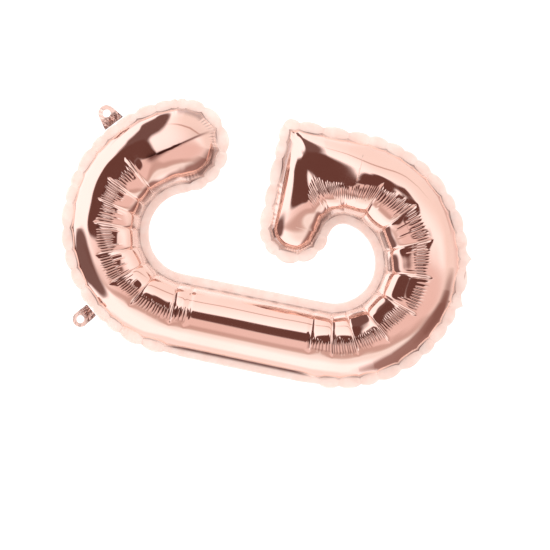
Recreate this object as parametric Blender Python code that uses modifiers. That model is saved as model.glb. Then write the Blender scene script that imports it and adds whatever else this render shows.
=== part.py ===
"""Air-filled foil letter balloon, capital G.

Two metallised film sheets are sealed to each other along a flat rim, with air between them.
Two hang tabs stand out from the rim at the top. The inflation tail leaves it at the bottom
and is folded up behind the letter, and a flat two-film valve runs from the tail's root into
the bottom of the tube.

Frame: metres, +Z up the letter, +X to the letter's right, and the letter faces -Y. The rim lies
in the plane Y = 0. The origin is midway between the two hang holes. The outline below is
measured from the stem's left edge (x) and the letter's lowest line (z), and place() moves it.
"""

import math

import bpy
from mathutils import Matrix, Vector

# The letter's frame
ORIGIN_X = 0.107
ORIGIN_Z = 0.344

# Film and rim
FILM = 0.0003
GAP = 0.0003
RIM_WIDTH = 0.0085
MOST_HALF_DEPTH = 0.0330

# Circles of the outline: centre x, centre z, radius
TOP_OUTER = (0.1160, 0.2560, 0.1160)
TOP_INNER = (0.1105, 0.2560, 0.0370)
BOTTOM_OUTER = (0.1160, 0.1190, 0.1150)
BOTTOM_INNER = (0.1120, 0.1230, 0.0365)
POCKET_TURN = (0.1350, 0.1200, 0.0135)
BAR_END = (0.1350, 0.1650, 0.0310)
TERMINAL_RADIUS = 0.0420
TERMINAL_START_DEG = 19.0
SPUR_EDGE_X = 0.2300
SPUR_CORNER_RADIUS = 0.0100

# How finely the outline and the domes are divided
ARC_STEPS = 20
STEM_STEPS = 5
SPUR_STEPS = 4
CORNER_STEPS = 3
BAR_STEPS = 5
END_STEPS = 10
DOME_STEPS = 5

# Hang tabs: where each stands on the top arc, and its outline
TAB_THICKNESS = 0.0006
TAB_HOLE_RADIUS = 0.0035
TAB_GAP = 0.0005
TAB_CIRCLE_STEPS = 32
LEFT_TAB = {"name": "left_hang_tab", "deg": 141.9, "ring": 0.0070, "reach": 0.0130, "root": 0.0130}
RIGHT_TAB = {"name": "right_hang_tab", "deg": 48.8, "ring": 0.0075, "reach": 0.0112, "root": 0.0200}

# Inflation tail, folded up behind the letter about a line just below the rim
TAIL_X = 0.1200
TAIL_AXIS_DROP = 0.0009
TAIL_ROOT_WIDTH = 0.0420
TAIL_WIDTH = 0.0220
TAIL_FLARE = 0.0090
TAIL_LENGTH = 0.0400
TAIL_ROOT_GAP = 0.0002
TAIL_FOLD_DEG = 125.0

# Valve films, inside the bottom of the tube
VALVE_WIDTH = 0.0200
VALVE_LENGTH = 0.0540
VALVE_ROOT_Z = 0.0140

ROSE_GOLD = (0.93, 0.68, 0.61, 1.0)
CLEAR_FILM = (0.86, 0.88, 0.90, 1.0)


def place(x, z, y=0.0):
    """A point of the letter, from outline measures to the part's frame."""
    return Vector((x - ORIGIN_X, y, z - ORIGIN_Z))


def material(name, color, metallic, roughness):
    made = bpy.data.materials.new(name)
    made.use_nodes = True
    shader = made.node_tree.nodes["Principled BSDF"]
    shader.inputs["Base Color"].default_value = color
    shader.inputs["Metallic"].default_value = metallic
    shader.inputs["Roughness"].default_value = roughness
    return made


def clear_scene():
    for obj in list(bpy.data.objects):
        bpy.data.objects.remove(obj, do_unlink=True)


def on_circle(circle, degrees, outward=1.0):
    """A point of a circle in outline measures, with the film's outward direction there."""
    x, z, radius = circle
    direction = Vector((math.cos(math.radians(degrees)), math.sin(math.radians(degrees))))
    return Vector((x, z)) + radius * direction, outward * direction


def on_line(start, end, fraction, outward):
    return Vector(start).lerp(Vector(end), fraction), Vector(outward)


def top_arc(f):
    outer = on_circle(TOP_OUTER, TERMINAL_START_DEG + (180 - TERMINAL_START_DEG) * f)
    inner = on_circle(TOP_INNER, TERMINAL_START_DEG + (180 - TERMINAL_START_DEG) * f, -1)
    return outer, inner


def stem(f):
    left = on_circle(TOP_OUTER, 180)[0], on_circle(BOTTOM_OUTER, 180)[0]
    right = on_circle(TOP_INNER, 180)[0], on_circle(BOTTOM_INNER, 180)[0]
    return on_line(*left, f, (-1, 0)), on_line(*right, f, (1, 0))


def bottom_arc(f):
    return on_circle(BOTTOM_OUTER, 180 + 180 * f), on_circle(BOTTOM_INNER, 180 + 180 * f, -1)


def bar_top():
    return BAR_END[1] + BAR_END[2]


def spur_corner():
    return SPUR_EDGE_X - SPUR_CORNER_RADIUS, bar_top() - SPUR_CORNER_RADIUS, SPUR_CORNER_RADIUS


def spur_side(f):
    start, end = on_circle(BOTTOM_OUTER, 360)[0], on_circle(spur_corner(), 0)[0]
    return on_line(start, end, f, (1, 0)), on_circle(POCKET_TURN, 40 * f, -1)


def spur_turn(f):
    return on_circle(spur_corner(), 90 * f), on_circle(POCKET_TURN, 40 + 10 * f, -1)


def bar(f):
    start, end = on_circle(spur_corner(), 90)[0], on_circle(BAR_END, 90)[0]
    return on_line(start, end, f, (0, 1)), on_circle(POCKET_TURN, 50 + 40 * f, -1)


def stations():
    """Matched points of the stroke's outer and inner edge, from the top end to the crossbar's end."""
    spans = (
        (top_arc, ARC_STEPS),
        (stem, STEM_STEPS),
        (bottom_arc, ARC_STEPS),
        (spur_side, SPUR_STEPS),
        (spur_turn, CORNER_STEPS),
        (bar, BAR_STEPS),
    )
    found = [top_arc(0.0)]
    for span, steps in spans:
        found += [span(step / steps) for step in range(1, steps + 1)]
    return found


def terminal_circle():
    """The circle of the top end, which touches the top arc's outer circle from inside."""
    x, z, radius = TOP_OUTER
    angle = math.radians(TERMINAL_START_DEG)
    away = radius - TERMINAL_RADIUS
    return x + away * math.cos(angle), z + away * math.sin(angle), TERMINAL_RADIUS


def round_end(circle, start_deg, end_deg):
    """Edge points round an end, leaving out the two that its stations already have."""
    turn = (end_deg - start_deg) / END_STEPS
    return [on_circle(circle, start_deg + turn * step) for step in range(1, END_STEPS)]


def perimeter(found):
    """Every edge point in order round the letter: (point, outward direction, station it leads to)."""
    last = len(found) - 1
    bar_end = round_end(BAR_END, 90, 270)
    top_end = round_end(terminal_circle(), 180 + TERMINAL_START_DEG, 360 + TERMINAL_START_DEG)
    edge = [(*outer, index) for index, (outer, _) in enumerate(found)]
    edge += [(*point, last) for point in bar_end]
    edge += [(*found[index][1], index) for index in range(last, -1, -1)]
    edge += [(*point, 0) for point in top_end]
    return edge


def ridge(found):
    """The middle line of the tube: a point and the half depth of the tube at each station."""
    line = []
    for (outer, outer_way), (inner, inner_way) in found:
        left, right = outer - RIM_WIDTH * outer_way, inner - RIM_WIDTH * inner_way
        line.append(((left + right) / 2, min((left - right).length / 2, MOST_HALF_DEPTH)))
    return line


def dome_ring(edge, line, angle, side):
    """One ring of the dome, between the rim's inner edge (angle 0) and the ridge (90 degrees)."""
    ring = []
    for point, outward, station in edge:
        foot = point - RIM_WIDTH * outward
        middle, half_depth = line[station]
        flat = foot.lerp(middle, 1 - math.cos(angle))
        ring.append(place(*flat, side * (GAP / 2 + FILM + half_depth * math.sin(angle))))
    return ring


def panel(name, side, foil, home):
    """One film sheet: side is -1 for the front and 1 for the back."""
    found = stations()
    edge, line = perimeter(found), ridge(found)
    count = len(edge)
    points = [place(*point, side * (GAP / 2 + FILM)) for point, _, _ in edge]
    for step in range(DOME_STEPS):
        points += dome_ring(edge, line, math.radians(90 * step / DOME_STEPS), side)
    ridge_start = len(points)
    points += [place(*middle, side * (GAP / 2 + FILM + depth)) for middle, depth in line]

    faces = []
    for ring in range(DOME_STEPS):
        low, high = ring * count, (ring + 1) * count
        for index in range(count):
            after = (index + 1) % count
            faces.append((low + index, low + after, high + after, high + index))
    for index in range(count):
        after = (index + 1) % count
        ends = ridge_start + edge[after][2], ridge_start + edge[index][2]
        corners = (DOME_STEPS * count + index, DOME_STEPS * count + after)
        faces.append(corners + (ends if ends[0] != ends[1] else ends[:1]))
    if side > 0:
        faces = [face[::-1] for face in faces]

    mesh = bpy.data.meshes.new(name)
    mesh.from_pydata(points, [], faces)
    mesh.materials.append(foil)
    mesh.shade_smooth()
    obj = bpy.data.objects.new(name, mesh)
    home.objects.link(obj)
    wall = obj.modifiers.new("film", "SOLIDIFY")
    wall.thickness = FILM
    wall.offset = -1
    return obj


def flat_piece(name, outlines, thickness, finish, home):
    """A flat piece in its own XY plane: the first outline is its edge and any other is a hole."""
    curve = bpy.data.curves.new(name, "CURVE")
    curve.dimensions = "2D"
    curve.fill_mode = "BOTH"
    curve.extrude = thickness / 2
    for outline in outlines:
        spline = curve.splines.new("POLY")
        spline.points.add(len(outline) - 1)
        for point, (x, y) in zip(spline.points, outline):
            point.co = (x, y, 0, 1)
        spline.use_cyclic_u = True
    curve.materials.append(finish)
    obj = bpy.data.objects.new(name, curve)
    home.objects.link(obj)
    return obj


def circle_points(y, radius, start_deg, end_deg, steps):
    turn = math.radians(end_deg - start_deg) / steps
    start = math.radians(start_deg)
    angles = [start + turn * step for step in range(steps)]
    return [(radius * math.cos(angle), y + radius * math.sin(angle)) for angle in angles]


def hang_tab(tab, foil, home):
    """A ring on a wide root that flexes along its own X axis. Its own +Y points away from the letter."""
    x, z, radius = TOP_OUTER
    angle = math.radians(tab["deg"])
    outer = circle_points(tab["reach"], tab["ring"], -35, 215, TAB_CIRCLE_STEPS)
    root = [(-tab["root"] / 2, 0), (tab["root"] / 2, 0)]
    hole = circle_points(tab["reach"], TAB_HOLE_RADIUS, 0, 360, TAB_CIRCLE_STEPS)
    obj = flat_piece(tab["name"], [outer + root, hole], TAB_THICKNESS, foil, home)
    away = radius + TAB_GAP
    at = place(x + away * math.cos(angle), z + away * math.sin(angle))
    upright = Matrix.Rotation(math.pi / 2, 4, "X")
    obj.matrix_world = Matrix.Translation(at) @ upright @ Matrix.Rotation(angle - math.pi / 2, 4, "Z")
    return obj


def tail(foil, home):
    """Two plies, open between them at the free end, on a pivot along X below the rim."""
    lowest = BOTTOM_OUTER[1] - BOTTOM_OUTER[2]
    pivot = bpy.data.objects.new("tail_fold_axis", None)
    home.objects.link(pivot)
    pivot.location = place(TAIL_X, lowest - TAIL_AXIS_DROP)
    pivot.rotation_euler = (math.radians(TAIL_FOLD_DEG - 90), 0, 0)
    outline = [
        (-TAIL_ROOT_WIDTH / 2, TAIL_ROOT_GAP),
        (TAIL_ROOT_WIDTH / 2, TAIL_ROOT_GAP),
        (TAIL_WIDTH / 2, TAIL_FLARE),
        (TAIL_WIDTH / 2, TAIL_LENGTH),
        (-TAIL_WIDTH / 2, TAIL_LENGTH),
        (-TAIL_WIDTH / 2, TAIL_FLARE),
    ]
    for name, side in (("tail_front_ply", -1), ("tail_back_ply", 1)):
        ply = flat_piece(name, [outline], FILM, foil, home)
        ply.parent = pivot
        ply.location.z = side * (GAP + FILM) / 2


def valve(film, home):
    """Two narrow films lying on each other, standing up inside the tube from the tail's root."""
    outline = [
        (-VALVE_WIDTH / 2, 0),
        (VALVE_WIDTH / 2, 0),
        (VALVE_WIDTH / 2, VALVE_LENGTH),
        (-VALVE_WIDTH / 2, VALVE_LENGTH),
    ]
    for name, side in (("valve_front_film", -1), ("valve_back_film", 1)):
        obj = flat_piece(name, [outline], FILM, film, home)
        obj.location = place(TAIL_X, VALVE_ROOT_Z, side * (GAP + FILM) / 2)
        obj.rotation_euler = (math.pi / 2, 0, 0)


def main():
    clear_scene()
    home = bpy.data.collections.new("foil_letter_balloon_g")
    bpy.context.scene.collection.children.link(home)
    foil = material("rose_gold_foil", ROSE_GOLD, 1.0, 0.14)
    film = material("valve_film", CLEAR_FILM, 0.0, 0.35)
    panel("front_panel", -1, foil, home)
    panel("back_panel", 1, foil, home)
    for tab in (LEFT_TAB, RIGHT_TAB):
        hang_tab(tab, foil, home)
    tail(foil, home)
    valve(film, home)


main()
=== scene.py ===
"""Looks of the foil letter balloon: a rose-gold letter G of mirror-bright film, softly filled with air.

Lengths in the code are millimetres unless a name says otherwise, and M turns them into metres.
Every film surface is a grid: stations along the letter's stroke, by rings from the sealed rim up
to the ridge of the tube. The bends carry what such a film does when it is filled: facets and
radial creases on the inner half, a comb of fine pleats on the ridge, and a scalloped outer rim.
"""

import math
from functools import partial

import bpy
import numpy as np
from mathutils import Matrix, Vector

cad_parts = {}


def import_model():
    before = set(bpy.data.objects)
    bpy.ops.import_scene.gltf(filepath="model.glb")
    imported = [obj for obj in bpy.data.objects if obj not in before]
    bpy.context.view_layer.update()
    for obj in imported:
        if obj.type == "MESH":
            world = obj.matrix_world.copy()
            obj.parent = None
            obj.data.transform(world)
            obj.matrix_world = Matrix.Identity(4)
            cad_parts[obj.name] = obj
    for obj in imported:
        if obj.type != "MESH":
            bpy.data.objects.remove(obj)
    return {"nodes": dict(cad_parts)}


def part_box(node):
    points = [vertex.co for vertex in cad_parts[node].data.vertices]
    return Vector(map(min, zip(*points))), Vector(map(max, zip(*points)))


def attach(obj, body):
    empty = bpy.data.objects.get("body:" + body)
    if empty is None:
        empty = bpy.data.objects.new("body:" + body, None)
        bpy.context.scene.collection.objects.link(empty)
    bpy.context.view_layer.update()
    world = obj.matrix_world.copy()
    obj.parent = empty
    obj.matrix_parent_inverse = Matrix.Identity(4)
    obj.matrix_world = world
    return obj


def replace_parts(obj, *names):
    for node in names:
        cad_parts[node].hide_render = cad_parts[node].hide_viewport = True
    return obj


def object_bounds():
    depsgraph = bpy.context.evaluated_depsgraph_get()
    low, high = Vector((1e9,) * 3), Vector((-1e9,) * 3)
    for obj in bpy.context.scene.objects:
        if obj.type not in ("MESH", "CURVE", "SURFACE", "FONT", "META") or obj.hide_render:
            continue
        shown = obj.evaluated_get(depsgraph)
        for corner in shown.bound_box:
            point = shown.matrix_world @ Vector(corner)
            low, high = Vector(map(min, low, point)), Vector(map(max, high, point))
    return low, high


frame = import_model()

M = 0.001
CAD_BOX = [list(corner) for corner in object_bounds()]

# The outline, measured from the stem's left edge and the letter's foot: centre x, centre z, radius
TOP_OUTER = (116.0, 256.0, 116.0)
TOP_INNER = (110.5, 256.0, 37.0)
BOTTOM_OUTER = (116.0, 119.0, 115.0)
BOTTOM_INNER = (112.0, 123.0, 36.5)
POCKET_TURN = (135.0, 120.0, 13.5)
BAR_END = (135.0, 165.0, 31.0)
TERMINAL_RADIUS = 42.0
START_DEG = 19.0
SPUR_X = 230.0
SPUR_ROUND = 10.0
BAR_TOP = BAR_END[1] + BAR_END[2]
SPUR_CORNER = (SPUR_X - SPUR_ROUND, BAR_TOP - SPUR_ROUND, SPUR_ROUND)
TAIL_NUBS = (99.0, 141.0)
LEFT_TAB_DEG, RIGHT_TAB_DEG = 141.9, 48.8

# That corner in the CAD's frame: the panel's lowest point is LOWEST above the foot
LOWEST = BOTTOM_OUTER[1] - BOTTOM_OUTER[2]
PANEL_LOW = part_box("front_panel")[0]
STEM_LEFT = PANEL_LOW[0] / M
LETTER_FOOT = PANEL_LOW[2] / M - LOWEST

# The film: its rim and depth, the spur's wide part, which is lower and tilts a little, and its pleats
RIM = 8.5
HALF_PLY = 0.20
INNER_GAP = 0.14
MOST_DEPTH = 33.0
SPUR_MIDDLE = (190.0, 155.0)
SPUR_REACH = 60.0
SPUR_DROP = 6.0
SPUR_TILT = 0.10
SPUR_TILT_WAY = (0.30, 0.95)
PLEAT_WIDTHS = (2.1, 3.3)
WIDEST_PLEAT = 6
SCALLOP_WIDTHS = (14, 25)
HOLLOW_UP = 2.5

PLEAT_SEED, SCALLOP_SEED, TAIL_SEED = 5, 11, 300

# The grid
RIM_STEPS = (0.0, 0.14, 0.40, 0.66, 0.88, 0.95)
RIM_RINGS = len(RIM_STEPS)
DOME_STEPS = 28
INNER_RINGS = (0, 6, 13, 21, 29)
END_STEPS = 96
COARSE_STEP = 2.5
FREE_END_STEP = 1.2


# ------------ the letter's stroke

def straight(start, end, way, f):
    """Points of a straight edge and the film's outward direction there."""
    return start + (end - start) * f[:, None], np.tile(np.array(way, float), (len(f), 1))


def on_circle(circle, degrees, outward=1.0):
    """Points of a circle and the film's outward direction there."""
    angle = np.radians(np.asarray(degrees, float))
    way = np.stack([np.cos(angle), np.sin(angle)], -1)
    return np.array(circle[:2]) + circle[2] * way, outward * way


def top_arc(f):
    degrees = START_DEG + (180 - START_DEG) * f
    return (*on_circle(TOP_OUTER, degrees), *on_circle(TOP_INNER, degrees, -1))


def stem(f):
    left, right = [
        straight(on_circle(top, 180)[0], on_circle(bottom, 180)[0], way, f)
        for top, bottom, way in ((TOP_OUTER, BOTTOM_OUTER, (-1, 0)), (TOP_INNER, BOTTOM_INNER, (1, 0)))
    ]
    return (*left, *right)


def bottom_arc(f):
    return (*on_circle(BOTTOM_OUTER, 180 + 180 * f), *on_circle(BOTTOM_INNER, 180 + 180 * f, -1))


def spur_side(f):
    edge = straight(on_circle(BOTTOM_OUTER, 360)[0], on_circle(SPUR_CORNER, 0)[0], (1, 0), f)
    return (*edge, *on_circle(POCKET_TURN, 40 * f, -1))


def spur_turn(f):
    return (*on_circle(SPUR_CORNER, 90 * f), *on_circle(POCKET_TURN, 40 + 10 * f, -1))


def bar(f):
    edge = straight(on_circle(SPUR_CORNER, 90)[0], on_circle(BAR_END, 90)[0], (0, 1), f)
    return (*edge, *on_circle(POCKET_TURN, 50 + 40 * f, -1))


SPANS = (top_arc, stem, bottom_arc, spur_side, spur_turn, bar)


def edges(q):
    """Outer and inner edge, each with its outward way, at place q: a span's number plus a share."""
    span = np.minimum(q.astype(int), len(SPANS) - 1)
    found = [np.zeros((len(q), 2)) for _ in range(4)]
    for number, function in enumerate(SPANS):
        here = span == number
        for whole, piece in zip(found, function(q[here] - number)):
            whole[here] = piece
    return found


def ridge(q):
    """The tube's middle line, and half the distance between the dome's two feet, at place q."""
    outer, outer_way, inner, inner_way = edges(q)
    left, right = outer - RIM * outer_way, inner - RIM * inner_way
    return (left + right) / 2, np.linalg.norm(left - right, axis=1) / 2


Q_TABLE = np.linspace(0, len(SPANS), 3001)
RIDGE_STEPS = np.linalg.norm(np.diff(ridge(Q_TABLE)[0], axis=0), axis=1)
S_TABLE = np.concatenate([[0.0], np.cumsum(RIDGE_STEPS)])
LENGTH = S_TABLE[-1]


def s_at(q):
    return np.interp(q, Q_TABLE, S_TABLE)


def q_at(s):
    return np.interp(s, S_TABLE, Q_TABLE)


def top_q(degrees):
    return (degrees - START_DEG) / (180 - START_DEG)


def bottom_q(degrees):
    return 2 + (degrees - 180) / 180


# Where the bends are pleated, as places q, and the creases between their facets, as distances
PLEATED = ((top_q(54), 1.10), (1.93, 5.4))
CREASE_MARKS = s_at(np.array(
    [0.0] + [top_q(degrees) for degrees in (54, 70, 84, 98.5, 118, 137, 154)] + [1.0, 1.10, 1.93]
    + [bottom_q(degrees) for degrees in (188, 204, 224, 247, 272, 295, 318, 342)]
    + [3.3, 4.0, 4.7, 5.4, 6.0]
))
TERMINAL_CIRCLE = (
    TOP_OUTER[0] + (TOP_OUTER[2] - TERMINAL_RADIUS) * math.cos(math.radians(START_DEG)),
    TOP_OUTER[1] + (TOP_OUTER[2] - TERMINAL_RADIUS) * math.sin(math.radians(START_DEG)),
    TERMINAL_RADIUS,
)


def seeded(number):
    return np.random.default_rng(number)


def smooth(x):
    x = np.clip(x, 0, 1)
    return x * x * (3 - 2 * x)


def pleat_marks():
    """Valleys between pleats, as distances along the stroke. Every crease is one of them."""
    rng = seeded(PLEAT_SEED)
    marks = []
    for low, high in zip(CREASE_MARKS, CREASE_MARKS[1:]):
        middle = (low + high) / 2
        if not any(s_at(a) < middle < s_at(b) for a, b in PLEATED):
            continue
        count = max(2, round((high - low) / rng.uniform(*PLEAT_WIDTHS)))
        lengths = rng.uniform(0.7, 1.3, count)
        starts = np.concatenate([[0], np.cumsum(lengths)[:-1]])
        marks.append(low + (high - low) * starts / lengths.sum())
        marks.append([high])
    return np.unique(np.round(np.concatenate(marks), 4))


MARKS = pleat_marks()
IN_PLEAT = (0.0, 0.13, 0.37, 0.63, 0.87)


def station_places():
    """Places q along the stroke: five to a pleat, and wider apart elsewhere."""
    places = []
    stops = [0.0] + list(MARKS) + [LENGTH]
    for low, high in zip(stops, stops[1:]):
        if high - low < WIDEST_PLEAT:
            places += [low + (high - low) * share for share in IN_PLEAT]
        else:
            step = FREE_END_STEP if low < 1 or high > LENGTH - 1 else COARSE_STEP
            count = math.ceil((high - low) / step)
            places += [low + (high - low) * index / count for index in range(count)]
    return q_at(np.array(places + [LENGTH]))


class Outline:
    """Every edge point round the letter, in order, with where it lies along the stroke.

    Shares from 0 to 1 say where it is: bent in the bends, straight on the stem, outside along the
    letter's outside and round the stroke's two ends, and ends at those ends and along the bar.
    """

    def __init__(self):
        q = station_places()
        outer, outer_way, inner, inner_way = edges(q)
        turns = np.arange(1, END_STEPS) / END_STEPS
        bar_deg = 90 + 180 * turns
        top_deg = 180 + START_DEG + 180 * turns
        bar_pts, bar_way = on_circle(BAR_END, bar_deg)
        top_pts, top_way = on_circle(TERMINAL_CIRCLE, top_deg)
        last, count = len(q) - 1, END_STEPS - 1
        none, ends = np.zeros(last + 1), np.ones(count)
        self.q_stations = q
        self.point = np.concatenate([outer, bar_pts, inner[::-1], top_pts])
        self.way = np.concatenate([outer_way, bar_way, inner_way[::-1], top_way])
        self.station = np.concatenate(
            [np.arange(last + 1), np.full(count, last), np.arange(last, -1, -1), np.zeros(count, int)]
        )
        self.q = q[self.station]
        self.s = s_at(self.q)
        self.middle, self.half = ridge(self.q)
        self.comb, self.bent, self.straight = comb_line(self.q), bend_share(self.s), stem_share(self.q)
        # How a step away from the ridge splits into one across the stroke and one along it
        bar_turn, top_turn = np.radians(bar_deg - 90), np.radians(top_deg - START_DEG)
        self.across = np.concatenate([none + 1, np.cos(bar_turn), none - 1, np.cos(top_turn)])
        self.onward = np.concatenate([none, np.sin(bar_turn), none, np.sin(top_turn)])
        self.at_end = np.concatenate([none, ends, none, ends]) > 0
        step = np.linalg.norm(self.point - np.roll(self.point, 1, axis=0), axis=1)
        self.run = np.cumsum(step)
        self.total = self.run[-1]
        self.outside = even(np.where(self.at_end | (self.across > 0), 1.0, 0.0), self, 12)
        self.ends = even(np.where(self.at_end | (self.q > 4.6), 1.0, 0.0), self, 12)


# ------------ the inflated shape

class Inflated:
    """Height of the filled film over its flat place.

    The height's square solves a Poisson equation inside the rim, on a 1 mm grid: a straight tube
    comes out as a half circle, and ends and corners come out as soft pillows.
    """

    SOURCE = 2.0
    SWEEPS = 420
    OVER = 1.93

    def __init__(self, foot_line):
        self.low = foot_line.min(0) - 4
        size = np.ceil(foot_line.max(0) + 4 - self.low).astype(int) + 1
        inside = self.within(foot_line, *(low + np.arange(count) for low, count in zip(self.low, size)))
        u = np.zeros(inside.shape)
        red = np.indices(inside.shape).sum(0) % 2 == 0
        for _ in range(self.SWEEPS):
            for colour in (red, ~red):
                around = np.zeros_like(u)
                around[1:-1, 1:-1] = u[2:, 1:-1] + u[:-2, 1:-1] + u[1:-1, 2:] + u[1:-1, :-2]
                fresh = u + self.OVER * ((around + self.SOURCE) / 4 - u)
                u = np.where(colour & inside, fresh, u)
        self.u = u

    @staticmethod
    def within(line, xs, zs):
        """True at the grid's points inside a closed line."""
        count = np.zeros((len(xs), len(zs)), int)
        for (x0, z0), (x1, z1) in zip(line, np.roll(line, -1, axis=0)):
            if z0 == z1:
                continue
            rows = (zs >= min(z0, z1)) & (zs < max(z0, z1))
            cross = x0 + (zs[rows] - z0) * (x1 - x0) / (z1 - z0)
            count[:, rows] += xs[:, None] < cross[None, :]
        return count % 2 == 1

    def square(self, flat):
        """Cubic interpolation of the height's square."""
        at = flat - self.low
        cell = np.floor(at).astype(int)
        part = at - cell
        total = np.zeros(flat.shape[:-1])
        weights = [self.cubic(part[..., axis]) for axis in (0, 1)]
        for dx in range(4):
            for dz in range(4):
                ix = np.clip(cell[..., 0] + dx - 1, 0, self.u.shape[0] - 1)
                iz = np.clip(cell[..., 1] + dz - 1, 0, self.u.shape[1] - 1)
                total += weights[0][dx] * weights[1][dz] * self.u[ix, iz]
        return total

    @staticmethod
    def cubic(t):
        """Weights of a cubic B-spline, which smooths a little."""
        return (
            (1 - t) ** 3 / 6,
            (3 * t ** 3 - 6 * t ** 2 + 4) / 6,
            (-3 * t ** 3 + 3 * t ** 2 + 3 * t + 1) / 6,
            t ** 3 / 6,
        )


def base_grid(outline, shares):
    """Flat place and height of the plain dome for each ring share (0 rim, 1 ridge) and edge point."""
    foot = outline.point - RIM * outline.way
    inward = outline.middle - foot
    shape = Inflated(foot[::3])
    flat = foot + inward * shares[:, None, None]
    away = np.linalg.norm(flat - foot, axis=2)
    square = shape.square(flat)
    # Close to the rim the grid is too coarse, so the height follows the slope a little further in
    inward /= np.maximum(np.linalg.norm(inward, axis=1, keepdims=True), 1e-6)
    near, far = 5.0, 9.0
    at_near = shape.square(foot + near * inward)
    at_far = shape.square(foot + far * inward)
    curve = (at_far / far - at_near / near) / (far - near)
    slope = at_near / near - curve * near
    slope, curve = even(slope, outline), even(curve, outline)
    close = slope * away + curve * away ** 2
    square = close + (square - close) * smooth((away - 4) / 6)
    height = np.sqrt(np.maximum(square, 0))
    # The spur's wide part can't rise as high as it is wide, and comes out flatter on top
    over_spur = flat - np.array(SPUR_MIDDLE)
    from_spur = np.linalg.norm(over_spur, axis=2) / SPUR_REACH
    cap = 1.02 * (MOST_DEPTH - SPUR_DROP * smooth(1 - from_spur))
    height = height / (1 + (height / cap) ** 6) ** (1 / 6)
    outward = over_spur @ np.array(SPUR_TILT_WAY)
    height -= SPUR_TILT * outward * smooth(1.3 - from_spur) * smooth(away / 25)
    return flat, height


def even(values, outline, reach=7.0):
    """A moving average round the perimeter."""
    fine = np.linspace(0, outline.total, 1200, endpoint=False)
    table = np.interp(fine, outline.run, values, period=outline.total)
    kernel = np.ones(max(3, int(reach / (fine[1] - fine[0]))))
    kernel /= kernel.sum()
    wide = np.concatenate([table[-40:], table, table[:40]])
    soft = np.convolve(wide, kernel, mode="same")[40:-40]
    return np.interp(outline.run, fine, soft, period=outline.total)


# ------------ wrinkles of the film

class Soft:
    """A smooth random field over the film: a few plane waves of about the given length."""

    def __init__(self, seed, length, stretch=1.0, waves=9):
        rng = seeded(seed)
        angle = rng.uniform(0, 2 * math.pi, waves)
        size = 2 * math.pi / (length * rng.uniform(0.7, 1.6, waves))
        self.ks = size * np.cos(angle) / stretch
        self.kw = size * np.sin(angle)
        self.phase = rng.uniform(0, 2 * math.pi, waves)
        self.scale = math.sqrt(2 / waves)

    def __call__(self, s, w):
        total = np.zeros(np.broadcast(s, w).shape)
        for ks, kw, phase in zip(self.ks, self.kw, self.phase):
            total += np.sin(ks * s + kw * w + phase)
        return total * self.scale


def cell_of(marks, s):
    """Which two marks each distance lies between: the first one's number, and both of them."""
    index = np.clip(np.searchsorted(marks, s + 1e-6, side="right") - 1, 0, len(marks) - 2)
    return index, marks[index], marks[index + 1]


class Comb:
    """A row of pleats on the shared marks. Pleats of one facet share their place and reach, nearly."""

    def __init__(self, seed, height, middle, reach, missing=0.0, edge=1.5):
        rng = seeded(seed)
        count = len(MARKS)
        cell = np.searchsorted(CREASE_MARKS, MARKS + 1e-3)
        cells = len(CREASE_MARKS) + 1
        self.height = height * rng.uniform(0.65, 1.15, count) * (rng.uniform(0, 1, count) > missing)
        self.middle = middle + rng.normal(0, 1.3, cells)[cell] + rng.normal(0, 0.35, count)
        self.reach = reach * rng.uniform(0.75, 1.1, cells)[cell] * rng.uniform(0.86, 1.1, count)
        self.edge = edge

    def __call__(self, s, w):
        index, low, high = cell_of(MARKS, s)
        u = np.clip((s - low) / (high - low), 0, 1)
        bulge = np.sin(math.pi * u) * (high - low < WIDEST_PLEAT)
        return self.height[index] * bulge * self.room(index, w)

    def room(self, index, w):
        """1 within a pleat's reach and 0 beyond it."""
        return smooth((self.reach[index] - np.abs(w - self.middle[index])) / self.edge)

    def shade(self, s, w):
        """1 in the bottoms between pleats, where shade is painted, and 0 elsewhere."""
        index, low, high = cell_of(MARKS, s)
        bottom = np.exp(-(np.minimum(s - low, high - s) / 0.48) ** 2)
        pleated = (high - low < WIDEST_PLEAT) * (self.height[index] > 0)
        return bottom * pleated * self.room(index, w)


def crown_comb(seed):
    """The comb of fine pleats that runs along the bends' crown."""
    return Comb(seed, 0.30, -0.8, 6.6)


def hollow_comb(seed):
    """The pleats at the foot of the bends' inner side."""
    return Comb(seed + 2, 0.24, 0.0, 6.5, missing=0.2, edge=3.0)


def dome_angles():
    """How far round the tube each dome ring is, from the foot at 0 to the ridge at a quarter turn."""
    return math.radians(90) * np.linspace(0, 1, DOME_STEPS + 1) ** 0.9


def pleat_shade(outline, seed):
    """How much painted shade lies in the bottoms between the pleats, for each dome ring and edge point.
    """
    w = outline.across * outline.half * (math.pi / 2 - dome_angles()[:, None])
    s = np.broadcast_to(outline.s, w.shape)
    crown = 0.85 * crown_comb(seed).shade(s, w - outline.comb)
    hollow = 0.55 * hollow_comb(seed).shade(s, w + outline.half * math.pi / 2 - HOLLOW_UP)
    dark = np.maximum(crown, np.where(w < 0, hollow, 0.0)) * outline.bent
    return np.where(outline.at_end, 0.0, dark)


class Creases:
    """Cells between given distances, the marks."""

    def __init__(self, marks):
        self.marks = marks

    def cell(self, s):
        """The cell's two marks, and how far from the first to the second, 0 to 1."""
        _, low, high = cell_of(self.marks, s)
        return low, high, np.clip((s - low) / (high - low), 0, 1)

    def distance(self, s):
        low, high, _ = self.cell(s)
        return np.minimum(np.abs(s - low), np.abs(high - s))


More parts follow.
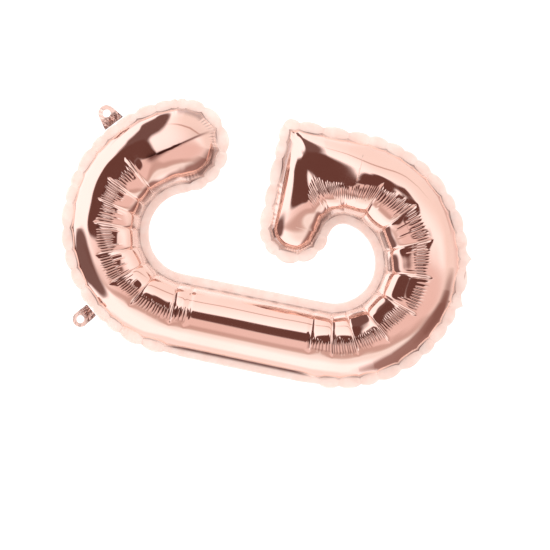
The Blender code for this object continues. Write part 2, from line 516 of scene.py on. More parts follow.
def scallop_marks(outline):
    """Notches of the outer rim, as distances round the perimeter. The straight stem has none."""
    rng = seeded(SCALLOP_SEED)
    marks, run = [], 6.0
    stem_left = outline.run[(outline.q > 1.12) & (outline.q < 1.92) & (outline.across > 0)]
    while run < outline.total - 8:
        if not stem_left[0] < run < stem_left[-1]:
            marks.append(run)
        run += rng.uniform(*SCALLOP_WIDTHS)
    return np.array([0.0] + marks + [outline.total])


def end_gathers(outline):
    """Short pleats, 0 to 1 high, that stand round the foot of the dome at the stroke's ends."""
    pleats = np.abs(np.sin(math.pi * outline.run / 3.6 + np.sin(outline.run / 11.0)))
    return outline.ends * smooth(0.5 + 1.5 * np.sin(outline.run / 13.0 + 2.0)) * pleats


def rim_shape(outline, scallops):
    """Rim's edge and dome's foot, how far each stands out, and the rim's wave, at each edge point."""
    low, high, u = scallops.cell(outline.run)
    stem_part = (outline.q > 1.1) & (outline.q < 1.94)
    lively = outline.outside * np.where(stem_part, 0.10, 1.0)
    lively = even(lively * np.clip((high - low) / 20, 0.6, 1.15), outline, 10)
    cusp = np.abs(2 * u - 1)
    edge_out = lively * (2.5 * (1 - cusp ** 2.4) - 1.5)
    foot_out = lively * (2.2 * cusp ** 3.5 - 0.6)
    sign = np.where(np.floor(low * 7.3) % 2 == 0, 1.0, -1.0)
    wave = lively * sign * (0.7 * np.sin(2 * math.pi * u) + 0.8 * cusp ** 9)
    for place in TAIL_NUBS:
        gap = np.abs(outline.point[:, 0] - place) + 60 * (outline.point[:, 1] > 30)
        edge_out = edge_out + 3.0 * np.exp(-gap / 2.0) - 0.8 * np.exp(-((gap - 6) / 3) ** 2)
        foot_out = foot_out + 2.4 * np.exp(-gap / 2.6)
    for degrees, half_width in ((LEFT_TAB_DEG, 8.0), (RIGHT_TAB_DEG, 11.5)):
        gap = np.linalg.norm(outline.point - on_circle(TOP_OUTER, degrees)[0], axis=1)
        at_tab = smooth((half_width + 3 - gap) / 3)
        edge_out = np.where(edge_out > 0.1, edge_out + (0.1 - edge_out) * at_tab, edge_out)
        wave = wave * (1 - at_tab)
    inner_side = even(np.where(outline.across < 0, 1.0, 0.0), outline, 6)
    wave += inner_side * 0.14 * np.sin(outline.run / 2.1) * np.sin(outline.run / 7.3)
    return edge_out, foot_out, wave


# The raised crease across the terminal
TERMINAL_CREASE = ((163, 309), (207, 252))
TERMINAL_CREASE_HEIGHT = 2.0
TERMINAL_CREASE_REACH = 12.0


def by_terminal_crease(flat):
    """How far along the terminal's crease flat places lie, 0 to 1, and how far to the side of it."""
    start, end = (np.array(place, float) for place in TERMINAL_CREASE)
    line = end - start
    length = np.linalg.norm(line)
    line /= length
    rel = flat - start
    return rel @ line / length, rel @ np.array([-line[1], line[0]])


def terminal_crease(flat):
    """Height of the crease at flat places."""
    along_line, side = by_terminal_crease(flat)
    taper = smooth(along_line / 0.25 + 0.1) * smooth((1 - along_line) / 0.35 + 0.1)
    return TERMINAL_CREASE_HEIGHT * taper * np.exp(-np.abs(side) / TERMINAL_CREASE_REACH)


def crease_line_shade(flat):
    """Painted shade of the crease: 1 along its line, a little on the side that it shades, and 0
    elsewhere.
    """
    along_line, side = by_terminal_crease(flat)
    taper = smooth(along_line / 0.1 - 0.2) * smooth((1.0 - along_line) / 0.3)
    width = 1.1 + 2.2 * np.exp(-((along_line - 0.12) / 0.14) ** 2)
    shaded_side = 0.20 * np.exp(-np.maximum(side, 0) / 9.0) * (side > 0)
    return taper * np.maximum(np.exp(-((side + 0.2) / width) ** 2), shaded_side)


# ------------ one film sheet

def sheet_grid(outline, side, seed):
    """Points of one sheet from the rim's edge to the ridge, as an array (ring, edge point, 3)."""
    phis = dome_angles()
    flat, height = base_grid(outline, 1 - np.cos(phis))
    scallops, creases = Creases(scallop_marks(outline)), Creases(CREASE_MARKS)
    edge_out, foot_out, wave = rim_shape(outline, scallops)

    # Distances over the film: along the stroke, and across it from the ridge, outwards positive
    from_ridge = outline.half * (math.pi / 2 - phis[:, None])
    w = outline.across * from_ridge
    s = outline.s + outline.onward * from_ridge
    arc = outline.half * math.pi / 2

    # Facets: chords between creases on the inner side and the crown, and between notches outside
    dome = np.concatenate([flat, height[:, :, None]], axis=2)
    sides = [(way * outline.across > 0) & ~outline.at_end for way in (1, -1)]
    dome = facets(dome, creases, outline.s, facet_weight(w, arc, outline), *sides)
    outer_weight = 0.55 * smooth((from_ridge - 12) / 22) * (1 - outline.straight) * outline.outside
    dome = facets(dome, scallops, outline.run, outer_weight, slice(None))
    foot_rings = smooth(1 - phis / math.radians(30))[:, None] * foot_out
    dome[:, :, :2] += foot_rings[:, :, None] * outline.way

    edge = outline.point + edge_out[:, None] * outline.way
    rim = np.zeros((RIM_RINGS, len(edge), 3))
    rim[:, :, :2] = edge + (dome[0][:, :2] - edge) * np.array(RIM_STEPS)[:, None, None]
    grid = np.concatenate([rim, dome])
    grid[:, :, 2] += HALF_PLY

    lift = dome_wrinkles(outline, scallops, creases, s, w, arc, flat, phis, seed)
    normals = grid_normals(grid, outline.station)
    grid[RIM_RINGS:] += normals[RIM_RINGS:] * lift[:, :, None]

    # Both sheets wave together along the rim
    fade = np.concatenate([1 - 0.7 * np.array(RIM_STEPS), 0.3 * smooth(1 - phis / math.radians(24))])
    depth = side * grid[..., 2] + wave * fade[:, None]
    return np.stack([grid[..., 0] + STEM_LEFT, depth, grid[..., 1] + LETTER_FOOT], -1)


def facet_weight(w, arc, outline):
    """How flat the film lies between two creases: most on the inner side and the crown."""
    weight = 0.96 * smooth((9 + outline.comb - w) / 8) * smooth((w + arc - 1) / 15)
    return np.where(outline.at_end, 0.0, weight * outline.bent)


def facets(dome, cells, measure, weight, *sides):
    """Pulls the dome towards straight chords between the cells' ends, each side by itself."""
    low, high, u = cells.cell(measure)
    chord = np.zeros_like(dome)
    for chosen in sides:
        order = np.argsort(measure[chosen], kind="stable")
        known = measure[chosen][order]
        columns = dome[:, chosen][:, order]
        for ring in range(dome.shape[0]):
            for axis in range(3):
                ends = [np.interp(at[chosen], known, columns[ring, :, axis]) for at in (low, high)]
                chord[ring, chosen, axis] = ends[0] * (1 - u[chosen]) + ends[1] * u[chosen]
    return dome + (chord - dome) * weight[:, :, None]


def grid_normals(grid, station):
    """Unit normals of a ring grid of (x, z, depth), pointing out of the balloon."""
    round_way = np.roll(grid, -1, axis=1) - np.roll(grid, 1, axis=1)
    up_way = np.gradient(grid, axis=0)
    normal = np.cross(round_way, up_way)
    normal /= np.maximum(np.linalg.norm(normal, axis=2, keepdims=True), 1e-9)
    normal[-1] = merge_ridge(normal[-2], station)[station]
    normal[-1] /= np.maximum(np.linalg.norm(normal[-1], axis=1, keepdims=True), 1e-9)
    return normal


def dome_wrinkles(outline, scallops, creases, s, w, arc, flat, phis, seed):
    """Height of the film over the faceted dome, for each dome ring and edge point."""
    at_end, bent, straight = outline.at_end, outline.bent, outline.straight
    phi = phis[:, None]
    spur = smooth((outline.q - 2.85) / 0.3)
    across = Comb(seed + 1, 0.20, -7.0, 10.0, missing=0.8)
    line = w - outline.comb
    lift = crown_comb(seed)(s, line) * (1 + 0.5 * spur) + across(s, line)
    lift += np.where(w < 0, hollow_comb(seed)(s, w + arc - HOLLOW_UP), 0.0)
    lift = np.where(at_end, 0.0, lift * bent)

    # Radial creases, and the soft swell of each facet between them
    low, high, u = creases.cell(s)
    reach = smooth((10 + outline.comb - w) / 5) * bent
    gap = creases.distance(s)
    pinch = (0.50 * np.exp(-gap / 0.8) + 0.32 * np.exp(-gap / 2.6)) * (1 - 0.95 * spur)
    swell = 0.28 * 4 * u * (1 - u) * np.clip((high - low) / 25, 0.4, 1.3)
    lift += np.where(at_end, 0.0, reach * (swell - pinch))

    # Puckers that run in from the notches of the outer rim, and the short pleats round the ends
    near_rim = smooth(1 - phi / math.radians(38))
    outer_side = outline.outside * (1 - straight)
    lift -= outer_side * near_rim * 0.8 * np.exp(-scallops.distance(outline.run) / 1.3)
    low_band = smooth(1 - phi / math.radians(44)) * smooth(phi / math.radians(14))
    lift += 0.34 * end_gathers(outline) * low_band

    # Slow dents, long ones on the stem, and the terminal's crease
    slow = Soft(seed + 60, 34)(s, w)
    long = Soft(seed + 61, 60, stretch=4)(s, w)
    lift += 0.16 * slow * (1 - straight) + 0.08 * long * straight
    lift += terminal_crease(flat)
    return lift * smooth(phi / math.radians(9))


def comb_line(q):
    """Where the comb of pleats runs, from the ridge: close to the pocket where the spur is wide."""
    return -15.0 * smooth((q - 2.75) / 0.35) * smooth((6.4 - q) / 1.4)


def bend_share(s):
    """1 in the bends and 0 on the straight stem and the stroke's ends."""
    share = np.zeros(s.shape)
    for start, end in PLEATED:
        ease = 4 if end < 5 else 14
        share += smooth((s - s_at(start) + 3) / 4) * smooth((s_at(end) + 3 - s) / ease)
    return np.clip(share, 0, 1)


def stem_share(q):
    return smooth((q - 1.0) / 0.15) * smooth((2.0 - q) / 0.1)


# ------------ meshes

def new_object(name, data):
    obj = bpy.data.objects.new(name, data)
    bpy.context.scene.collection.objects.link(obj)
    return obj


def new_mesh(name, points_m, faces, material):
    mesh = bpy.data.meshes.new(name)
    mesh.from_pydata([tuple(p) for p in points_m], [], faces)
    mesh.materials.append(material)
    mesh.shade_smooth()
    mesh.update()
    return new_object(name, mesh)


def set_values(obj, **layers):
    """Point values that the foil's material reads."""
    for name, values in layers.items():
        layer = obj.data.attributes.new(name, "FLOAT", "POINT")
        layer.data.foreach_set("value", values.ravel().astype(np.float32))


def ring_faces(low, high, count):
    """Quads between two closed rings of the same count, given where each starts."""
    here = np.arange(count)
    after = np.roll(here, -1)
    return np.stack([low + here, low + after, high + after, high + here], 1).tolist()


def cap_faces(ring_start, ridge_start, station):
    """Faces from the last ring to the ridge, which both sides of the stroke share."""
    faces = []
    count = len(station)
    for index in range(count):
        after = (index + 1) % count
        a, b = int(station[index]), int(station[after])
        corner = [ring_start + index, ring_start + after, ridge_start + b]
        faces.append(corner if a == b else corner + [ridge_start + a])
    return faces


def band_faces(start, rings, count):
    """Quads of a stack of closed rings."""
    faces = []
    for ring in range(rings - 1):
        faces += ring_faces(start + ring * count, start + (ring + 1) * count, count)
    return faces


def skin_faces(start, rings, count, station):
    """Faces of one skin of a sheet: its rings, and then its ridge."""
    cap = cap_faces(start + (rings - 1) * count, start + rings * count, station)
    return band_faces(start, rings, count) + cap


def thin_film(name, skins, front, walls, foil):
    """A piece of two skins: the front's faces, the same turned over on the rear, and walls."""
    size = len(skins[0])
    rear = [[index + size for index in face[::-1]] for face in front]
    return new_mesh(name + "_film", np.concatenate(skins) * M, front + rear + walls, foil)


def merge_ridge(last_ring, station):
    """One point for each station, the mean of the edge points' own."""
    count = station.max() + 1
    total = np.zeros((count, 3))
    np.add.at(total, station, last_ring)
    return total / np.bincount(station, minlength=count)[:, None]


def film_panel(name, outline, side, seed, foil):
    """One sheet as a closed film: the wrinkled outer skin, and a plain inner skin close behind it."""
    grid = sheet_grid(outline, side, seed)
    count, station = len(outline.q), outline.station
    outer_rings = grid[:-1]
    ridge_outer = merge_ridge(grid[-1], station)

    inner_rings = []
    for number in INNER_RINGS:
        ring, drop = grid[number].copy(), INNER_GAP
        if number > RIM_RINGS + 2:
            ring = (np.roll(ring, 6, axis=0) + ring + np.roll(ring, -6, axis=0)) / 3
        if number >= RIM_RINGS:
            drop = INNER_GAP + 1.0 * smooth((number - RIM_RINGS) / 7)
        ring[:, 1] -= side * drop
        inner_rings.append(ring)
    kernel = np.ones(9) / 9
    padded = np.pad(ridge_outer, ((4, 4), (0, 0)), mode="edge")
    ridge_inner = np.stack([np.convolve(padded[:, axis], kernel, mode="valid") for axis in range(3)], 1)
    ridge_inner[:, 1] -= side * 1.2

    skins = (outer_rings.reshape(-1, 3), ridge_outer, np.array(inner_rings).reshape(-1, 3), ridge_inner)
    points = np.concatenate(skins)
    inner_start = len(outer_rings) * count + len(ridge_outer)
    front = skin_faces(0, len(outer_rings), count, station)
    back = skin_faces(inner_start, len(inner_rings), count, station) + ring_faces(0, inner_start, count)
    faces = front + [face[::-1] for face in back]
    if side > 0:
        faces = [face[::-1] for face in faces]
    obj = new_mesh(name, points * M, faces, foil)
    mark_film(obj, points, outline, len(outer_rings), pleat_shade(outline, seed))
    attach(obj, "envelope")
    return obj


def mark_film(obj, points, outline, outer_count, pleats):
    """Point values for the foil's material: 1 on the sealed rim, and 1 where painted shade lies in a
    crevice.
    """
    count = len(outline.q)
    dome = slice(RIM_RINGS * count, outer_count * count)
    top = slice(dome.stop, dome.stop + len(outline.q_stations))
    run, outside, ends = outline.run, outline.outside, outline.ends

    def ring(number, rings=1):
        return slice(number * count, (number + rings) * count)

    # The seal fades out over the first rings of the dome, further out on the inside and at the ends
    seal = np.zeros(len(points))
    seal[ring(0, RIM_RINGS)] = 1.0
    seal[top.stop:top.stop + 2 * count] = 1.0
    paler = np.maximum(1 - outside, 0.75 * ends)
    low_shares = (1.0, 0.8, 0.55, 0.3, 0.1) + 6 * (0.0,)
    high_shares = (1.0, 0.95, 0.88, 0.78, 0.68, 0.58, 0.46, 0.35, 0.24, 0.14, 0.06)
    for number, (low, high) in enumerate(zip(low_shares, high_shares), RIM_RINGS):
        seal[ring(number)] = low + (high - low) * paler

    # The painted shade line between rim and dome comes and goes, and is strong along the stem
    crevice = np.zeros(len(points))
    inner_line = (1 - outside) * (0.45 + 0.25 * np.sin(run / 2.3) * np.sin(run / 9.1))
    wander = 0.5 + 0.5 * np.sin(run / 17.0) * np.sin(run / 43.0 + 1) + 0.35 * np.sin(run / 5.3)
    stem_line = outline.straight * outside
    outer_line = wander * (0.35 + 0.5 * outside) + 0.75 * stem_line
    strength = np.clip(np.maximum(outer_line, inner_line), 0, 1)
    crevice[ring(RIM_RINGS - 2)] = 0.9 * stem_line
    for number, share in enumerate((1.0, 1.0, 1.0, 0.95, 0.8, 0.5, 0.2), RIM_RINGS - 1):
        crevice[ring(number)] = share * strength

    # Painted shade between the short pleats at the ends, along the terminal's crease, and between the
    # comb's pleats
    end_pleat_shade = 0.62 * smooth(1.15 * ends - 1.5 * end_gathers(outline))
    for number in range(RIM_RINGS + 1, RIM_RINGS + 12):
        fade = smooth((RIM_RINGS + 12 - number) / 5)
        crevice[ring(number)] = np.maximum(crevice[ring(number)], fade * end_pleat_shade)
    film = slice(dome.start, top.stop)
    flat = points[film][:, [0, 2]] - (STEM_LEFT, LETTER_FOOT)
    crevice[film] = np.maximum(crevice[film], crease_line_shade(flat))
    crevice[dome] = np.maximum(crevice[dome], pleats[:-1].ravel())
    at_ridge = np.bincount(outline.station, pleats[-1]) / np.bincount(outline.station)
    crevice[top] = np.maximum(crevice[top], at_ridge)
    set_values(obj, seal=seal, crevice=crevice)


# ------------ hang tabs

def hang_tab(name, circle_deg, ring_radius, reach, root, body, seed, foil):
    """A film ring on a gathered root, as a grid of spokes from the hole out to the tab's edge.

    In the tab's own plane, the hole's middle is the origin and the root lies below it, reach away.
    """
    spokes, steps, hole = 144, 12, 3.5
    rng = seeded(seed)
    theta = np.linspace(0, 2 * math.pi, spokes, endpoint=False)
    way = np.stack([np.cos(theta), np.sin(theta)], -1)
    edge = np.array([tab_edge(spoke, ring_radius, reach, root / 2) for spoke in way])
    radius = hole + (edge - hole) * np.linspace(0, 1, steps + 1)[:, None]
    x, y = radius * way[:, 0], radius * way[:, 1]
    gather = smooth((-y - 2.0) / (reach - 6.5))
    fan = x / np.maximum(1.0 - 0.45 * smooth(-y / reach), 0.2)
    height = 2.0 * gather * (ridged(fan, 5.2, rng) - 0.6)
    height += 1.0 * gather * (ridged(fan + 0.9 * y, 3.6, rng) - 0.6)
    height += 0.9 * gather * (ridged(y + 0.4 * x, 4.2, rng) - 0.5)
    height += 0.5 * (1 - gather) * (ridged(x + 0.6 * y, 5.6, rng) - 0.5)
    # Painted shade in the low places of the gathered root
    pit_shade = smooth(0.9 - height / 0.9) * gather ** 0.5
    height *= smooth((y + reach) / 1.4 + 0.3)
    angle = math.radians(circle_deg)
    up = np.array([math.cos(angle), math.sin(angle)])
    right = np.array([up[1], -up[0]])
    middle = np.array(TOP_OUTER[:2]) + (TOP_OUTER[2] + 0.5 + reach) * up
    flat = middle + x[..., None] * right + y[..., None] * up
    skins = []
    for offset in (-0.12, 0.12):
        skin = np.stack([flat[..., 0] + STEM_LEFT, height + offset, flat[..., 1] + LETTER_FOOT], -1)
        skins.append(skin.reshape(-1, 3))
    size, last = (steps + 1) * spokes, steps * spokes
    front = [face[::-1] for face in band_faces(0, steps + 1, spokes)]
    walls = [face[::-1] for face in ring_faces(0, size, spokes)] + ring_faces(last, size + last, spokes)
    obj = thin_film(name, skins, front, walls, foil)
    pale = 0.5 * (1 - smooth(gather * 1.6))
    set_values(obj, seal=np.tile(pale, (2, 1)), crevice=np.tile(0.85 * pit_shade, (2, 1)))
    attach(obj, body)
    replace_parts(obj, name)


def tab_edge(spoke, ring_radius, reach, half_root):
    """How far the tab's edge is along a spoke: its root line, the ring, or a side between the two."""
    if spoke[1] < 0 and abs(spoke[0]) * reach <= -spoke[1] * half_root:
        return reach / -spoke[1]
    corner = np.array([math.copysign(half_root, spoke[0]), -reach])
    normal = side_normal(corner, ring_radius)
    facing = spoke @ normal
    if spoke[1] < 0.55 and facing > 0.05 and in_wedge(spoke, corner, normal):
        length = (corner @ normal) / facing
        if length >= ring_radius and length * spoke[1] >= -reach:
            return min(length, math.hypot(half_root, reach))
    return ring_radius


def ridged(place, length, rng):
    """Sharp folds of about the given length, 0 to 1 high."""
    wobble = 0.35 * length * np.sin(place / length * 1.7 + rng.uniform(0, 6))
    return np.abs(np.sin(math.pi * (place + wobble) / length + rng.uniform(0, 3)))


def side_normal(corner, radius):
    """Outward normal of the line from a root corner that touches the ring."""
    distance = math.hypot(*corner)
    base = math.atan2(corner[1], corner[0])
    swing = math.acos(radius / distance)
    angle = base + math.copysign(swing, corner[0])
    return np.array([math.cos(angle), math.sin(angle)])


def in_wedge(way, corner, normal):
    """True between the root corner and the point where its line touches the ring."""
    unit = corner / np.linalg.norm(corner)
    cross = unit[0] * way[1] - unit[1] * way[0]
    limit = unit[0] * normal[1] - unit[1] * normal[0]
    return 0 <= cross * math.copysign(1, limit) <= abs(limit)


# ------------ inflation tail

def tail_ply(name, side, foil):
    """One ply of the tail, folded up behind the letter, with crinkled edges."""
    long_steps, wide_steps = 60, 40
    root_width, width, flare, length = 42.0, 22.0, 9.0, 40.0
    drop, fold_deg, axis_x = 0.9, 125.0, 120.0
    t = np.linspace(0, 1, long_steps + 1)[:, None]
    v = np.linspace(-1, 1, wide_steps + 1)[None, :]
    run = 0.2 + (length - 0.2) * t
    half = width / 2 + (root_width - width) / 2 * (1 - smooth(run / flare)) ** 1.4
    across = half * v * (1 + 0.012 * np.sin(run * 1.1))
    height = 0.10 * Soft(TAIL_SEED, 9)(run, across) * smooth(run / 6)
    height += 0.16 * np.sin(across * 1.3) * (1 - smooth(run / 14)) * smooth(run / 1.5)
    gap = side * (0.16 + 0.5 * smooth((run - 26) / 14) * (1 - v ** 2))
    # The root follows the letter's round foot
    sideways = axis_x + across - BOTTOM_OUTER[0]
    sag = BOTTOM_OUTER[2] - np.sqrt(BOTTOM_OUTER[2] ** 2 - sideways ** 2)
    angle = math.radians(fold_deg)
    way = np.array([0.0, math.sin(angle), -math.cos(angle)])
    normal = np.array([0.0, math.cos(angle), math.sin(angle)])
    axis = np.array([axis_x + STEM_LEFT, 0.0, LOWEST - drop + LETTER_FOOT])
    skins = []
    for skin_side in (-1, 1):
        offset = height + gap + skin_side * 0.06
        skin = axis + across[..., None] * np.array([1.0, 0, 0]) + (run + 0 * across)[..., None] * way
        skin = skin + offset[..., None] * normal + (sag + 2.2)[..., None] * np.array([0, 0, 1.0])
        skins.append(skin.reshape(-1, 3))
    index = np.arange((long_steps + 1) * (wide_steps + 1)).reshape(long_steps + 1, -1)
    corners = (index[:-1, :-1], index[:-1, 1:], index[1:, 1:], index[1:, :-1])
    front = np.stack(corners, -1).reshape(-1, 4).tolist()
    loop = np.concatenate([index[0, :-1], index[:-1, -1], index[-1, :0:-1], index[:0:-1, 0]])
    after = np.roll(loop, -1)
    walls = np.stack([loop, loop + index.size, after + index.size, after], -1).tolist()
    obj = thin_film(name, skins, front, walls, foil)
    pale = 0.45 + 0.5 * smooth((np.abs(v) - 0.72) / 0.12) + 0 * run
    set_values(obj, seal=np.tile(pale, (2, 1)))
    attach(obj, "tail")
    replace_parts(obj, name)


# ------------ materials

# Dark brown that the foil is mixed towards as painted shade in crevices, along folds and between pleats
PAINTED_SHADE_BROWN = (0.20, 0.085, 0.070)


def nodes_of(name):
    item = bpy.data.materials.new(name)
    item.use_nodes = True
    return item, item.node_tree, item.node_tree.nodes["Principled BSDF"]


def add(tree, kind, **values):
    """A new node, with its own settings and its inputs' values given by name."""
    node = tree.nodes.new("ShaderNode" + kind)
    for key, value in values.items():
        if hasattr(node, key):
            setattr(node, key, value)
        else:
            node.inputs[key.replace("_", " ")].default_value = value
    return node


def feed(tree, sockets, values):
    """Gives each socket its value: a number, a colour, or another node's output."""
    for socket, value in zip(sockets, values):
        if isinstance(value, (int, float)):
            socket.default_value = value
        elif isinstance(value, tuple):
            socket.default_value = (*value, 1)
        else:
            tree.links.new(value, socket)


def math_node(tree, operation, *values):
    node = add(tree, "Math", operation=operation)
    feed(tree, node.inputs, values)
    return node.outputs["Value"]


def mix_node(tree, first, second, factor):
    """From the first colour, at factor 0, to the second."""
    node = add(tree, "Mix", data_type="RGBA")
    feed(tree, (node.inputs[6], node.inputs[7], node.inputs[0]), (first, second, factor))
    return node.outputs[2]


def texture(tree, place, kind="Noise", **values):
    """A texture's value over the piece's own coordinates."""
    node = add(tree, "Tex" + kind, **values)
    tree.links.new(place, node.inputs["Vector"])
    return node.outputs["Fac"]


def ramp_node(tree, value, *stops):
    """Colour for a value, from stops of position and colour."""
    node = add(tree, "ValToRGB")
    for element, (position, colour) in zip(node.color_ramp.elements, stops):
        element.position, element.color = position, (*colour, 1)
    tree.links.new(value, node.inputs["Fac"])
    return node.outputs["Color"]


def range_node(tree, value, to_min, to_max, from_min=0.0, from_max=1.0, kind="LINEAR"):
    node = add(tree, "MapRange", interpolation_type=kind)
    feed(tree, node.inputs, (value, from_min, from_max, to_min, to_max))
    return node.outputs["Result"]


def bump_shader(tree, shader, height, strength, distance):
    node = add(tree, "Bump", Strength=strength, Distance=distance)
    tree.links.new(height, node.inputs["Height"])
    tree.links.new(node.outputs["Normal"], shader.inputs["Normal"])


def foil_material(name):
    """Mirror-bright metallised film: rose gold, pale and soft where it is heat-sealed, and darkened
    towards brown by painted shade in its crevices and folds.
    """
    item, tree, shader = nodes_of(name)
    link = tree.links.new
    place = add(tree, "TexCoord").outputs["Object"]
    seal = add(tree, "Attribute", attribute_name="seal").outputs["Fac"]
    crevice = add(tree, "Attribute", attribute_name="crevice").outputs["Fac"]
    tone = texture(tree, place, Scale=18.0, Detail=3.0)
    tone = ramp_node(tree, tone, (0.35, (0.950, 0.665, 0.572)), (0.70, (0.965, 0.700, 0.612)))
    sealed = texture(tree, place, Scale=90.0, Detail=4.0)
    sealed = ramp_node(tree, sealed, (0.30, (0.955, 0.700, 0.615)), (0.62, (0.990, 0.790, 0.715)))
    skin = mix_node(tree, tone, sealed, seal)
    # The point value mixes the colour towards dark brown: painted shade in crevices, along folds and
    # between pleats
    link(mix_node(tree, skin, PAINTED_SHADE_BROWN, crevice), shader.inputs["Base Color"])

    haze = texture(tree, place, Scale=55.0, Detail=4.0)
    haze = range_node(tree, haze, 0.035, 0.085, 0.3, 0.75)
    link(math_node(tree, "MULTIPLY_ADD", seal, 0.30, haze), shader.inputs["Roughness"])
    link(range_node(tree, seal, 1.0, 0.14), shader.inputs["Metallic"])

    # Fine grain everywhere, and the diagonal knurl that the sealing bar presses into the rim
    grain = texture(tree, place, Scale=1400.0, Detail=2.0)
    knurl = texture(tree, place, "Wave", Scale=420.0, Distortion=0.4, bands_direction="DIAGONAL")
    pressed = math_node(tree, "MULTIPLY", knurl, seal)
    bump_shader(tree, shader, math_node(tree, "MULTIPLY_ADD", grain, 0.25, pressed), 0.08, 0.0001)
    return item


def valve_material():
    """Thin milky film of the valve, inside the tube."""
    item, tree, shader = nodes_of("valve_clear_film")
    place = add(tree, "TexCoord").outputs["Object"]
    cloud = texture(tree, place, Scale=120.0, Detail=3.0)
    colour = ramp_node(tree, cloud, (0.0, (0.80, 0.82, 0.84)), (1.0, (0.90, 0.91, 0.93)))
    tree.links.new(colour, shader.inputs["Base Color"])
    bump_shader(tree, shader, cloud, 0.2, 0.0002)
    shader.inputs["Roughness"].default_value = 0.35
    return item


# ------------ studio

def patch(tree, across, upward, centre, size, turn, soft):
    """1 inside a turned ellipse of the surroundings and 0 outside, with a soft edge."""
    work = partial(math_node, tree)
    cosine, sine = math.cos(math.radians(turn)), math.sin(math.radians(turn))
    dx, dz = work("SUBTRACT", across, centre[0]), work("SUBTRACT", upward, centre[1])
    long = work("MULTIPLY_ADD", dx, cosine, work("MULTIPLY", dz, sine))
    short = work("MULTIPLY_ADD", dz, cosine, work("MULTIPLY", dx, -sine))
    squares = []
    for place, half_size in zip((long, short), size):
        squares.append(work("POWER", work("ABSOLUTE", work("DIVIDE", place, half_size)), 2.0))
    out = work("SQRT", work("ADD", *squares))
    return range_node(tree, out, 0.0, 1.0, 1 + soft, 1 - soft, "SMOOTHSTEP")


# The surroundings that the film mirrors, in degrees from straight out of the letter's front: across
# (to its right), up (to its top). Colour, centre, half sizes, turn, softness, strength
SOFT_LIGHT = (1.25, 1.25, 1.25)
WHITE_STUDIO = (1.36, 1.32, 1.36)
PINK_SIDE = (0.90, 0.70, 0.67)
PALE_SIDE = (1.04, 0.97, 0.95)
DARK_ROOM = (0.145, 0.062, 0.052)
DIM_STRIPE = (0.62, 0.42, 0.38)
SURROUNDINGS = (
    (PALE_SIDE, (95, -45), (75, 60), -20, 0.35, 1.0),
    ((1.0, 0.90, 0.87), (0, -120), (150, 62), 0, 0.30, 1.0),
    ((0.98, 0.88, 0.85), (-130, 30), (30, 90), 0, 0.35, 0.8),
    ((1.02, 1.0, 0.99), (-24, -30), (32, 56), 0, 0.40, 1.0),
    (PINK_SIDE, (-12, -18), (17, 54), 4, 0.50, 1.0),
    ((0.60, 0.42, 0.38), (-28, -6), (7, 60), 3, 0.60, 0.85),
    ((0.30, 0.155, 0.135), (-57, -88), (60, 40), -33, 0.24, 0.92),
    ((0.20, 0.090, 0.075), (-23, -102), (30, 28), -14, 0.50, 0.60),
    (DARK_ROOM, (-46, 83), (30, 42), 29, 0.18, 0.95),
    (DARK_ROOM, (60, 41), (56, 15), 16, 0.20, 0.97),
    (DIM_STRIPE, (56, -14), (2.5, 30), 0, 0.60, 0.9),
    (DARK_ROOM, (10, 33), (22, 21), -8, 0.14, 1.0),
    (DARK_ROOM, (3, 20), (12, 13), 0, 0.20, 1.0),
    (DARK_ROOM, (7.5, -4), (11.5, 13), 0, 0.16, 1.0),
    (DARK_ROOM, (16, -13), (9, 9), 0, 0.20, 1.0),
)
# The same behind the letter, in degrees from straight out of its back
SURROUNDINGS_BEHIND = (
    (PINK_SIDE, (20, -12), (20, 44), -8, 0.50, 1.0),
    (DIM_STRIPE, (34, -4), (6, 46), -5, 0.60, 0.8),
    (DARK_ROOM, (-12, 24), (22, 25), 12, 0.16, 1.0),
    (DARK_ROOM, (-9, -8), (9, 22), 6, 0.20, 1.0),
)


def world():
    """A white studio round the letter, with the dark shapes of the room in front of and behind it."""
    scene_world = bpy.data.worlds.new("studio")
    bpy.context.scene.world = scene_world
    scene_world.use_nodes = True
    tree = scene_world.node_tree
    tree.nodes.clear()
    parts = add(tree, "SeparateXYZ")
    tree.links.new(add(tree, "TexCoord").outputs["Generated"], parts.inputs["Vector"])
    x, y, z = parts.outputs
    work = partial(math_node, tree)
    from_front = work("MULTIPLY", work("ARCCOSINE", work("MULTIPLY", y, -1.0)), math.degrees(1))
    from_behind = work("SUBTRACT", 180.0, from_front)
    flat = work("SQRT", work("ADD", work("MULTIPLY", x, x), work("MULTIPLY", z, z)))
    flat = work("MAXIMUM", flat, 0.0001)

    seen = WHITE_STUDIO
    for angle, patches in ((from_front, SURROUNDINGS), (from_behind, SURROUNDINGS_BEHIND)):
        across = work("DIVIDE", work("MULTIPLY", angle, x), flat)
        upward = work("DIVIDE", work("MULTIPLY", angle, z), flat)
        for colour, centre, size, turn, soft, strength in patches:
            inside = patch(tree, across, upward, centre, size, turn, soft)
            seen = mix_node(tree, seen, colour, work("MULTIPLY", inside, strength))
    seen = mix_node(tree, SOFT_LIGHT, seen, add(tree, "LightPath").outputs["Is Glossy Ray"])
    background = add(tree, "Background")
    tree.links.new(seen, background.inputs["Color"])
    output = add(tree, "OutputWorld")
    tree.links.new(background.outputs["Background"], output.inputs["Surface"])


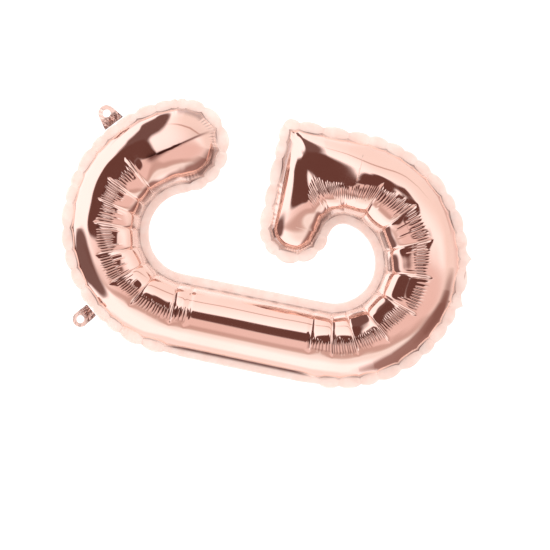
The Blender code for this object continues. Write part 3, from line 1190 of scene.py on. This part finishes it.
def floor():
    """A pale floor well under the hanging letter. The film doesn't mirror it: it mirrors the studio."""
    half, below = 6.0, CAD_BOX[0][2] - 0.06
    points = [(-half, -half, below), (half, -half, below), (half, half, below), (-half, half, below)]
    item, tree, shader = nodes_of("pale_floor")
    speck = add(tree, "TexNoise", Scale=3.0, Detail=2.0).outputs["Fac"]
    colour = ramp_node(tree, speck, (0.0, (0.90, 0.90, 0.90)), (1.0, (0.94, 0.94, 0.94)))
    tree.links.new(colour, shader.inputs["Base Color"])
    shader.inputs["Roughness"].default_value = 0.9
    obj = new_mesh("floor", points, [[0, 1, 2, 3]], item)
    obj.visible_glossy = False


def soft_light():
    light = bpy.data.lights.new("soft_top_light", "AREA")
    light.energy = 14.0
    light.size = 2.0
    obj = new_object("soft_top_light", light)
    obj.location = (0.4, -1.2, 1.6)
    obj.rotation_euler = Vector((-0.4, 1.2, -1.75)).to_track_quat("-Z", "Y").to_euler()
    obj.visible_glossy = False


def camera():
    """Looks squarely at the letter's front, rolled so that the letter lies on its side."""
    roll = math.radians(12.245)
    centre = Vector((STEM_LEFT + 90.1, 0, LETTER_FOOT + 173.2)) * M
    distance, sensor, frame_width = 1.6, 36.0, 0.495
    right = Vector((math.sin(roll), 0, -math.cos(roll)))
    up = Vector((math.cos(roll), 0, math.sin(roll)))
    back = Vector((0, -1, 0))
    data = bpy.data.cameras.new("camera")
    data.sensor_width = sensor
    data.lens = sensor * distance / frame_width
    obj = new_object("camera", data)
    turn = Matrix((right, up, back)).transposed().to_4x4()
    obj.matrix_world = Matrix.Translation(centre + distance * back) @ turn
    bpy.context.scene.camera = obj


# ------------ the scene

camera()
foil = foil_material("rose_gold_foil_film")
clear_film = valve_material()
outline = Outline()
for label, side, seed in (("front_panel", -1, 100), ("back_panel", 1, 200)):
    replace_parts(film_panel(label + "_film", outline, side, seed, foil), label)
hang_tab("left_hang_tab", LEFT_TAB_DEG, 7.0, 13.0, 13.0, "left_tab", 401, foil)
hang_tab("right_hang_tab", RIGHT_TAB_DEG, 7.5, 11.2, 20.0, "right_tab", 402, foil)
tail_ply("tail_front_ply", -1, foil)
tail_ply("tail_back_ply", 1, foil)
for node in ("valve_front_film", "valve_back_film"):
    frame["nodes"][node].data.materials.clear()
    frame["nodes"][node].data.materials.append(clear_film)
floor()
soft_light()
world()
bpy.context.scene.view_settings.view_transform = "Standard"
